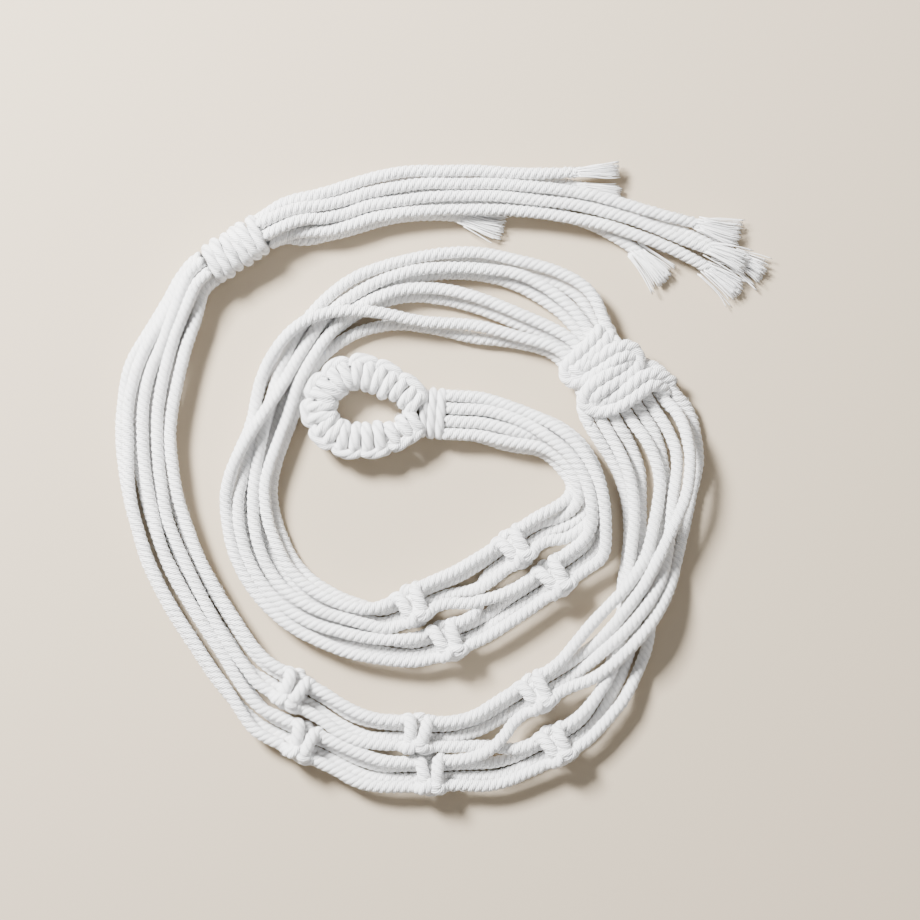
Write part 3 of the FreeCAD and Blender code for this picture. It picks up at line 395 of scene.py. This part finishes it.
class Skin:
    """Vertices and faces of one mesh, with how far each vertex faces out, which sets the painted shade in
    the grooves, and its place on a yarn.
    """

    def __init__(self):
        self.vertices, self.faces, self.facing, self.yarn = [], [], [], []

    def add_tube(self, centre, outward, radius, sides, yarns=0, yarn_slope=0.0):
        """A closed tube; its seam is on the side away from the outward direction."""
        tangent = unit(np.gradient(centre, axis=0))
        first = unit(outward - tangent * np.sum(outward * tangent, axis=1, keepdims=True))
        second = np.cross(tangent, first)
        base, count = len(self.vertices), len(centre)
        share = np.arange(sides) / sides
        angles = math.pi + 2 * math.pi * share
        rings = (centre[:, None, :]
                 + first[:, None, :] * (np.cos(angles)[None, :, None] * radius[:, None, None])
                 + second[:, None, :] * (np.sin(angles)[None, :, None] * radius[:, None, None]))
        self.vertices.extend(rings.reshape(-1, 3).tolist())
        # How far each vertex faces out from its strand; the cotton materials use it to paint shade on the
        # inward sides, in the grooves.
        self.facing.extend(np.tile(np.cos(angles), count).tolist())
        phase = yarns * share[None, :] + yarn_slope * along(centre)[:, None]
        self.yarn.extend(phase.reshape(-1).tolist())
        for i in range(count - 1):
            for j in range(sides):
                k = (j + 1) % sides
                self.faces.append((base + i * sides + j, base + i * sides + k,
                                   base + (i + 1) * sides + k, base + (i + 1) * sides + j))
        self.faces.append(tuple(base + j for j in reversed(range(sides))))
        self.faces.append(tuple(base + (count - 1) * sides + j for j in range(sides)))

    def add_hairs(self, path, radius, rng):
        """Fine loose hairs standing a little off a cord, each a three-sided sliver."""
        run = along(path)
        count = int(run[-1] / (HAIR_SPACING * MM))
        where = rng.uniform(0.02, 0.98, count) * run[-1]
        root = np.stack([np.interp(where, run, path[:, axis]) for axis in range(3)], axis=1)
        thick = np.interp(where, run, radius)[:, None]
        tangent = unit(np.gradient(path, axis=0))
        ahead = np.stack([np.interp(where, run, tangent[:, axis]) for axis in range(3)], axis=1)
        out = unit(np.cross(ahead, rng.normal(0, 1, (count, 3))))
        out[:, 2] = np.abs(out[:, 2])
        across = np.cross(ahead, out)
        length = rng.uniform(0.9, 2.6, (count, 1)) * MM
        lean = rng.uniform(-1, 1, (count, 1))
        middle = root + out * (thick * 0.98 + 0.14 * MM) + (ahead * lean + across * 0.5) * length * 0.5
        tip = root + out * (thick + rng.uniform(0.0, 0.5, (count, 1)) * MM) + ahead * lean * length \
            + across * rng.uniform(-0.9, 0.9, (count, 1)) * length
        base = len(self.vertices)
        corners = []
        for place, size in ((root + out * thick * 0.85, 0.045), (middle, 0.04), (tip, 0.02)):
            for turn in (0, 2.1, 4.2):
                corners.append(place + (out * math.cos(turn) + across * math.sin(turn)) * size * MM)
        points = np.stack(corners, axis=1)
        points[:, :, 2] = np.maximum(points[:, :, 2], 0.05 * MM)
        self.vertices.extend(points.reshape(-1, 3).tolist())
        self.facing.extend([1.0] * (9 * count))
        self.yarn.extend([0.0] * (9 * count))
        for hair in range(count):
            first = base + 9 * hair
            for ring in (0, 3):
                for j in range(3):
                    k = (j + 1) % 3
                    self.faces.append((first + ring + j, first + ring + k,
                                       first + ring + 3 + k, first + ring + 3 + j))

    def make(self, name, material):
        mesh = bpy.data.meshes.new(name)
        mesh.from_pydata(self.vertices, [], self.faces)
        for label, values in (("facing", self.facing), ("yarn", self.yarn)):
            layer = mesh.attributes.new(label, "FLOAT", "POINT")
            layer.data.foreach_set("value", values)
        mesh.materials.append(material)
        mesh.polygons.foreach_set("use_smooth", [True] * len(mesh.polygons))
        obj = bpy.data.objects.new(name, mesh)
        bpy.context.scene.collection.objects.link(obj)
        return obj


def swell(count, rng, amount):
    """Slow random swelling along a strand, a little above and below one."""
    knots = rng.normal(0, amount, max(4, count // 9))
    return 1 + np.interp(np.linspace(0, len(knots) - 1, count), np.arange(len(knots)), knots)


def wandering(path, rng, amount=0.3, wave=14.0):
    """The path with slow sideways unevenness, none at its ends."""
    run = along(path) / MM
    count = max(3, int(run[-1] / wave) + 2)
    steps = rng.normal(0, amount * MM, (count, 3))
    steps[0] = steps[-1] = 0
    steps[:, 2] *= 0.4
    places = np.linspace(0, run[-1], count)
    offset = np.stack([np.interp(run, places, steps[:, axis]) for axis in range(3)], axis=1)
    window = np.ones(9) / 9
    for axis in range(3):
        padded = np.pad(offset[:, axis], 4, mode="edge")
        offset[:, axis] = np.convolve(padded, window, mode="valid")
    return path + offset * np.clip(np.minimum(run, run[-1] - run) / 8, 0, 1)[:, None]


def add_rope(skin, path, radius, start, pitch, relief, seed, closed=False):
    """Three strands laid left-handed round a path; start is the cord's length up to here."""
    rng = np.random.default_rng(seed)
    tangent, normal, side = carried_frames(path, closed)
    run = along(path)
    pitch = pitch * MM
    if closed:
        pitch = run[-1] / max(1, round(run[-1] / pitch * STRANDS)) * STRANDS
    for strand in range(STRANDS):
        angle = strand * 2 * math.pi / STRANDS - 2 * math.pi * (start + run) / pitch
        outward = normal * np.cos(angle)[:, None] + side * np.sin(angle)[:, None]
        centre = path + outward * (relief * radius)[:, None]
        thick = (0.995 - relief) * radius * swell(len(path), rng, 0.03)
        skin.add_tube(centre, outward, thick, SIDES, YARNS, 0.55 * YARNS / (PITCH * MM))
    skin.add_hairs(path, radius, rng)


def taper(path, end_radius, middle_radius, reach=3.5):
    """Radius along a path, in metres, full at both ends and squeezed between."""
    run = along(path) / MM
    from_end = np.minimum(run, run[-1] - run)
    share = np.clip(from_end / reach, 0, 1)
    share = share * share * (3 - 2 * share)
    return (end_radius + (middle_radius - end_radius) * share) * MM


def rope_object(name, routes, material, seed, end_radius=CORD / 2, middle_radius=CORD / 2,
                pitch=PITCH, relief=0.385, closed=False, undone=False):
    """One mesh of rope along each of the routes, with the centre line of the first.

    The far end is thinner where the strands come undone there.
    """
    skin, lines = Skin(), []
    for number, points in enumerate(routes):
        path = read_route(points)
        if closed:
            path[-1] = path[0]
        else:
            path = wandering(path, np.random.default_rng(seed + 31 * number))
        lines.append(path)
        radius = taper(path, end_radius, middle_radius)
        if undone:
            left = (along(path)[-1] - along(path)) / MM
            radius = radius * (0.45 + 0.55 * np.clip(left / UNDONE, 0, 1))
        add_rope(skin, path, radius, seed * 0.0013, pitch, relief, seed + number, closed)
    return skin.make(name, material), lines[0]


# ---- materials ---------------------------------------------------------------------------------

def node(tree, kind, **inputs):
    """A shader node of one kind with some of its inputs set."""
    made = tree.nodes.new("ShaderNode" + kind)
    for name, value in inputs.items():
        made.inputs[name.replace("_", " ")].default_value = value
    return made


def attribute(tree, name):
    made = node(tree, "Attribute")
    made.attribute_name = name
    return made.outputs["Fac"]


def maths(tree, operation, first, second):
    """Result of an operation on one socket and one number or a second socket."""
    made = node(tree, "Math")
    made.operation = operation
    tree.links.new(first, made.inputs[0])
    if isinstance(second, (int, float)):
        made.inputs[1].default_value = second
    else:
        tree.links.new(second, made.inputs[1])
    return made.outputs[0]


def cotton(name, base, shade, painted_groove_shade):
    """Cotton: matt and soft, uneven in tone, with painted shade in the grooves between strands, with yarns
    and fibres.
    """
    material = bpy.data.materials.new(name)
    material.use_nodes = True
    tree = material.node_tree
    links = tree.links
    shader = tree.nodes["Principled BSDF"]
    shader.inputs["Roughness"].default_value = 0.95
    shader.inputs["Specular IOR Level"].default_value = 0.1
    shader.inputs["Sheen Weight"].default_value = 0.4
    shader.inputs["Sheen Roughness"].default_value = 0.6
    shader.inputs["Subsurface Weight"].default_value = 0.05
    shader.inputs["Subsurface Radius"].default_value = (0.0012, 0.0011, 0.0010)
    place = node(tree, "TexCoord")
    cloud = node(tree, "TexNoise", Scale=170, Detail=5)
    fibre = node(tree, "TexNoise", Scale=2300, Detail=3, Roughness=0.7)
    links.new(place.outputs["Object"], cloud.inputs["Vector"])
    links.new(place.outputs["Object"], fibre.inputs["Vector"])
    ramp = node(tree, "ValToRGB")
    ramp.color_ramp.elements[0].position = 0.3
    ramp.color_ramp.elements[0].color = (*shade, 1)
    ramp.color_ramp.elements[1].position = 0.6
    ramp.color_ramp.elements[1].color = (*base, 1)
    links.new(cloud.outputs["Fac"], ramp.inputs["Fac"])
    turns = maths(tree, "MULTIPLY", attribute(tree, "yarn"), 2 * math.pi)
    yarn = maths(tree, "SINE", turns, 0.0)
    # Painted shade: each strand is darkened on the sides that face into the grooves between strands, down
    # to the groove value on the side that faces straight in.
    painted_shade_by_facing = node(tree, "MapRange", From_Min=-0.05, From_Max=0.85, To_Min=painted_groove_shade, To_Max=1.0)
    links.new(attribute(tree, "facing"), painted_shade_by_facing.inputs["Value"])
    tone = maths(tree, "MULTIPLY_ADD", yarn, 0.06)
    links.new(painted_shade_by_facing.outputs["Result"], tone.node.inputs[2])
    shaded = node(tree, "Mix")
    shaded.data_type = "RGBA"
    shaded.blend_type = "MULTIPLY"
    shaded.inputs["Factor"].default_value = 1.0
    links.new(ramp.outputs["Color"], shaded.inputs["A"])
    links.new(tone, shaded.inputs["B"])
    links.new(shaded.outputs["Result"], shader.inputs["Base Color"])
    height = maths(tree, "MULTIPLY_ADD", yarn, 0.35)
    links.new(fibre.outputs["Fac"], height.node.inputs[2])
    bump = node(tree, "Bump", Strength=0.8, Distance=0.00035)
    links.new(height, bump.inputs["Height"])
    links.new(bump.outputs["Normal"], shader.inputs["Normal"])
    return material


# The last number sets how dark the painted shade in the grooves between strands gets; the loose fibres get
# none.
COTTON = cotton("cotton cord", (0.93, 0.925, 0.915), (0.83, 0.825, 0.82), 0.44)
TIGHT_COTTON = cotton("cotton in knots", (0.94, 0.935, 0.93), (0.85, 0.845, 0.84), 0.50)
FRAY_COTTON = cotton("loose cotton fibre", (0.95, 0.945, 0.94), (0.88, 0.875, 0.87), 1.0)


# ---- free cords --------------------------------------------------------------------------------

def cord_seed(cord):
    return 11 * (ord(cord) - 48)


def free_stretch(name, cord, number, points, ends, far_end="object"):
    """One free stretch of a cord as rope."""
    obj, line = rope_object(name, [points], COTTON, cord_seed(cord) + number, undone=far_end == "bare")
    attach(obj, "root")
    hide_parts(ends)


def upper_cords():
    for cord in NECK_TO_KNOT_1:
        node = "upper_cord_" + cord
        free_stretch("neck_run_" + cord, cord, 1,
                     leaving(NECK, NECK_LENGTH, NECK_SLOTS[cord]) + NECK_TO_KNOT_1[cord]
                     + into_knot("1", cord), node)
        free_stretch("upper_link_" + cord, cord, 2,
                     out_of_knot("1", cord) + KNOT_1_TO_2[cord] + into_knot("2", cord), node)
        free_stretch("upper_run_" + cord, cord, 3,
                     out_of_knot("2", cord) + KNOT_2_TO_GATHER[cord]
                     + arriving(GATHER, GATHER_LENGTH, GATHER_IN_SLOTS[cord]), node)


def lower_cords():
    for cord in GATHER_TO_KNOT_3:
        node = "lower_cord_" + cord
        free_stretch("lower_run_" + cord, cord, 1,
                     leaving(GATHER, GATHER_LENGTH, GATHER_OUT_SLOTS[cord])
                     + GATHER_TO_KNOT_3[cord] + into_knot("3", cord), node)
        free_stretch("lower_link_" + cord, cord, 2,
                     out_of_knot("3", cord) + KNOT_3_TO_4[cord] + into_knot("4", cord), node)
        free_stretch("second_link_" + cord, cord, 3,
                     out_of_knot("4", cord) + KNOT_4_TO_5[cord] + into_knot("5", cord), node)
        free_stretch("left_run_" + cord, cord, 4,
                     out_of_knot("5", cord) + KNOT_5_TO_WRAP[cord]
                     + arriving(WRAP, WRAP_LENGTH, WRAP_SLOTS[cord]), node)


def tail_cords():
    for cord in TASSEL:
        free_stretch("tail_" + cord, cord, 5,
                     leaving(WRAP, WRAP_LENGTH, WRAP_SLOTS[cord]) + TASSEL[cord],
                     "tail_cord_" + cord, far_end="bare")


# ---- knots and bindings ------------------------------------------------------------------------

def mirrored(points):
    """A path that comes back the way it went: its first half, then the same half reversed."""
    return points + [(-x, y, z) for x, y, z in reversed(points) if x]


FILLER = [(-6.5, 1, LOW), (-4, 1, LOW + 0.8), (-1.5, 0.8, 5.0)]
FRONT_WORKER = [
    (-6.5, -4.9, HIGH), (-5.2, -5.6, 8.0), (-3.7, -5.9, 8.8), (-3.2, -3.6, 10.6), (-2.9, -0.6, 11.4),
    (-2.6, 2.4, 11.0), (-2.4, 5.0, 9.4), (-1.6, 6.6, 6.6), (0, 7.0, 5.0),
]
BACK_WORKER = [
    (-6.5, 4.9, HIGH), (-5.2, 5.4, 8.8), (-3.6, 5.9, 10.8), (-1.7, 5.2, 12.6), (-0.5, 3.6, 11.6),
    (-0.7, 1.6, 7.0), (-1.2, -1.5, 3.2), (-1.4, -4.4, 2.8), (-1.0, -6.0, 4.6),
]


def leaned(points, lean):
    """The middle of a knot's path sheared along the knot, its ends left where they are."""
    return [(x + lean * y * max(0, 1 - abs(x) / 6), y, z) for x, y, z in points]


def square_knots():
    """Two cords straight through and two worked round them: two bars in front, a bump inside."""
    for seed, (name, place) in enumerate(SQUARE_KNOTS.items()):
        rng = random.Random(40 + seed)
        lean = rng.uniform(-0.25, 0.25)
        routes = [placed(place, mirrored([(x, 2.55 * side * y, z) for x, y, z in FILLER]))
                  for side in (-1, 1)]
        routes.append(placed(place, leaned(mirrored(FRONT_WORKER), lean)))
        routes.append(placed(place, leaned(mirrored(BACK_WORKER), lean)))
        knot, _ = rope_object("square_knot_rope_" + name, routes, TIGHT_COTTON, 200 + 7 * seed,
                              middle_radius=2.55)
        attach(knot, "root")
        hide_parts("square_knot_" + name)


# Doubled cord worked to and fro across the front of the gathering knot: (along, across, height).
GATHER_FRONT = [
    (-17, 6.5, 4.5), (-16.6, 6.4, 8.5), (-15.4, 3.5, 10.8), (-13.6, -2, 11.4), (-12, -9, 10.2),
    (-10.9, -14.4, 8), (-7.8, -15.4, 7.2), (-6.1, -9.8, 9.2), (-6.4, -1.6, 11.8), (-6.9, 6, 12.6),
    (-4.9, 11, 11), (-0.4, 11.4, 9.6), (1.4, 5, 11), (1, -3.6, 12.9), (1.7, -10.5, 11),
    (4.6, -14.2, 8), (8.4, -11.4, 8.6), (10.4, -5, 10.6), (10, 2.6, 12.5), (8.6, 9.6, 12),
    (10.2, 15, 10), (16, 17.8, 6.5),
]
GATHER_UNDER = [
    (-13, 8, 4.5), (-12, 5.5, 8.6), (-10.5, 0, 9.6), (-9.3, -7, 8.8), (-8.6, -11, 6),
]


def beside(points, shift):
    """The same path moved sideways in plan."""
    moved = []
    for i, (x, y, z) in enumerate(points):
        before, after = points[max(i - 1, 0)], points[min(i + 1, len(points) - 1)]
        dx, dy = after[0] - before[0], after[1] - before[1]
        length = math.hypot(dx, dy)
        moved.append((x - dy / length * shift, y + dx / length * shift, z))
    return moved


def gathering_knot():
    routes = [placed(GATHER, beside(GATHER_FRONT, shift)) for shift in (-2.3, 2.3)]
    routes.append(placed(GATHER, GATHER_UNDER))
    slots_in, slots_out = sorted(GATHER_IN_SLOTS.values()), sorted(GATHER_OUT_SLOTS.values())
    for position, out in zip(slots_in, slots_out):
        routes.append(placed(GATHER, [
            (-13, *position), (-10.5, position[0], position[1] + 1.5), (-7, position[0], position[1] + 1),
            (0, (position[0] + out[0]) / 2 * 0.8, 6.4), (7, out[0], 6.5), (13, *out)]))
    knot, _ = rope_object("gathering_knot_rope", routes, TIGHT_COTTON, 400, middle_radius=2.65,
                          pitch=11.0, relief=0.33)
    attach(knot, "root")
    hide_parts("gathering_knot")


# Turns of the neck wrap: (place along it, half of its width). The first hugs the loop's legs.
NECK_TURNS = [(-4.7, 7.9), (-1.3, 8.6), (2.2, 8.6)]
WRAP_TURNS = 6


def turn_route(x, lean, half_width, bottom, top):
    """One turn of cord round a flat bundle, leaning along it, closed on itself underneath."""
    middle, half = (bottom + top) / 2, (top - bottom) / 2
    corners = [(0, bottom), (-0.62, bottom), (-0.96, middle - 0.55 * half), (-1, middle),
               (-0.96, middle + 0.55 * half), (-0.62, top - 0.1 * half), (0, top),
               (0.62, top - 0.1 * half), (0.96, middle + 0.55 * half), (1, middle),
               (0.96, middle - 0.55 * half), (0.62, bottom), (0, bottom)]
    return [(x + lean * share, share * half_width, height) for share, height in corners]


def bindings():
    rng = random.Random(9)
    neck = [placed(NECK, turn_route(x, 0.0, half_width, 2.2, 9.6)) for x, half_width in NECK_TURNS]
    wrap = []
    for number in range(WRAP_TURNS):
        x = -9.9 + 4.1 * number + rng.uniform(-0.3, 0.3)
        lean = 0.7 + rng.uniform(-0.5, 0.5)
        half_width = 6.4 + rng.uniform(-0.4, 0.3)
        top = 14.4 + rng.uniform(-0.4, 0.3)
        wrap.append(placed(WRAP, turn_route(x, lean, half_width, 2.3, top)))
    for node_name, routes, radius, seed in (("neck_wrap", neck, 2.0, 500), ("bottom_wrap", wrap, 2.3, 520)):
        turns, _ = rope_object(node_name + "_turns", routes, TIGHT_COTTON, seed, radius, radius,
                               pitch=SLACK_PITCH, relief=TIGHT_RELIEF, closed=True)
        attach(turns, "root")
        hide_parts(node_name)


def loop_turn(x, lean, inner):
    """One turn of the loop's cover: wide towards the eye, tucked under the bar outside."""
    corners = [(0, 2.4), (-3.4, 2.6), (-4.9, 4.8), (-5.1, 7.2), (-4.6, 9.6), (-3, 11.4), (0.6, 11.9),
               (3.6, 11.2), (5.0, 9.4), (5.2, 7.1), (4.9, 4.6), (3, 2.6), (0, 2.4)]
    turn = [(across * inner if across > 0 else across, height) for across, height in corners]
    return [(x + lean * across, across, height) for across, height in turn]


def loop():
    """Bundle inside the loop, and on each run of it two turns and the bar along their outside."""
    first, last = (at(NECK, -NECK_LENGTH / 2, *leg) for leg in LOOP_LEGS)
    core, _ = rope_object("loop_bundle", [[first, *LOOP_LINE, last]], TIGHT_COTTON, 600,
                          LOOP_CORE / 2, LOOP_CORE / 2)
    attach(core, "root")
    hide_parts("loop_core")
    for number in range(1, len(LOOP_LINE)):
        start, end = Vector(LOOP_LINE[number - 1]), Vector(LOOP_LINE[number])
        run = end - start
        place = (*((start + end) / 2)[:2], math.degrees(math.atan2(run.y, run.x)))
        half = run.length / 2
        before = 3.0 if number == 1 else 0.0
        after = 3.0 if number == len(LOOP_LINE) - 1 else 0.0
        inner = 0.62 if before or after else 1.0
        routes = [placed(place, loop_turn(share * half, -0.07 * share, inner)) for share in (-0.5, 0.5)]
        if before:
            routes.append(placed(place, loop_turn(-half - 1.7, 0, 0.95)))
        if after:
            routes.append(placed(place, loop_turn(half + 1.7, 0, 0.95)))
        knot, _ = rope_object("loop_wrap_%02d" % number, routes, TIGHT_COTTON, 620 + number, 2.35, 2.35,
                              pitch=SLACK_PITCH, relief=TIGHT_RELIEF, closed=True)
        bar, _ = rope_object("loop_bar_%02d" % number, [placed(place, [
            (-half - 0.6 - before, -2.6, 9.6), (-half + 0.2 - before, -4.4, 10.2),
            (-half + 1.6, -5.6, 10.4), (half - 1.6, -5.6, 10.4), (half - 0.2 + after, -4.4, 10.2),
            (half + 0.6 + after, -2.6, 9.6)])],
            TIGHT_COTTON, 640 + number, 1.9, 2.3, pitch=SLACK_PITCH, relief=TIGHT_RELIEF)
        for piece in (knot, bar):
            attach(piece, "root")
            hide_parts("loop_knot_%02d" % number)


# ---- frayed ends -------------------------------------------------------------------------------

def fray(cord):
    """A tail's end come undone: a flat brush of loose yarns that starts on the cord."""
    rng = random.Random(ord(cord))
    line = read_route(TASSEL[cord])
    run = along(line)
    ahead = Vector(unit(line[-1] - line[-4]))
    side = Vector((-ahead.y, ahead.x, 0)).normalized()
    skin = Skin()
    bend = rng.uniform(-0.8, 0.8)
    width = 0.5 if cord in "ce" else 1.0
    for _ in range(FRAY_YARNS):
        out = rng.gauss(0, 1.15) * width
        height = rng.uniform(-1.0, 1.0)
        beyond = rng.uniform(2.0, 6.5)
        points = []
        for back, spread in ((UNDONE * rng.uniform(0.75, 1.1), 1.25), (UNDONE * 0.45, 1.75), (0.0, 2.3),
                             (-beyond, 2.7)):
            place = [np.interp(run[-1] - back * MM, run, line[:, axis]) / MM for axis in range(3)]
            past = max(0.0, -back)
            height_here = max(0.35, place[2] * (1 - 0.05 * past) + height * 2.3 - 0.05 * past)
            shift = out * spread + bend * past * 0.2 + rng.gauss(0, 0.25)
            points.append((place[0] + side.x * shift + ahead.x * past,
                           place[1] + side.y * shift + ahead.y * past, height_here))
        path = read_route(points)[::3]
        skin.add_tube(path, np.tile([0.0, 0.02, 1.0], (len(path), 1)),
                      np.linspace(0.27, 0.17, len(path)) * MM, 5)
    obj = skin.make("fray_" + cord, FRAY_COTTON)
    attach(obj, "root")


# ---- stage -------------------------------------------------------------------------------------

def plain(name, color):
    material = bpy.data.materials.new(name)
    material.use_nodes = True
    material.node_tree.nodes["Principled BSDF"].inputs["Base Color"].default_value = (*color, 1)
    material.node_tree.nodes["Principled BSDF"].inputs["Roughness"].default_value = 0.9
    return material


def stage():
    bpy.ops.mesh.primitive_plane_add(size=4, location=(0, 0, 0))
    floor = bpy.context.object
    floor.name = "floor"
    floor.data.materials.append(plain("pale floor", (0.46, 0.38, 0.28)))
    lamps = (("key", (-0.6, 0.6, 0.75), 0.28, 80.0), ("fill", (0.8, -0.3, 0.9), 1.0, 4.0))
    for name, location, size, power in lamps:
        data = bpy.data.lights.new(name, "AREA")
        data.size = size
        data.energy = power
        lamp = bpy.data.objects.new(name, data)
        lamp.location = location
        lamp.rotation_euler = (-Vector(location)).to_track_quat("-Z", "Y").to_euler()
        bpy.context.scene.collection.objects.link(lamp)
    world = bpy.data.worlds.new("world")
    world.use_nodes = True
    world.node_tree.nodes["Background"].inputs["Color"].default_value = (1, 1, 1, 1)
    world.node_tree.nodes["Background"].inputs["Strength"].default_value = 0.32
    bpy.context.scene.world = world


add_camera()
upper_cords()
lower_cords()
tail_cords()
square_knots()
gathering_knot()
bindings()
loop()
for cord in TASSEL:
    fray(cord)
stage()
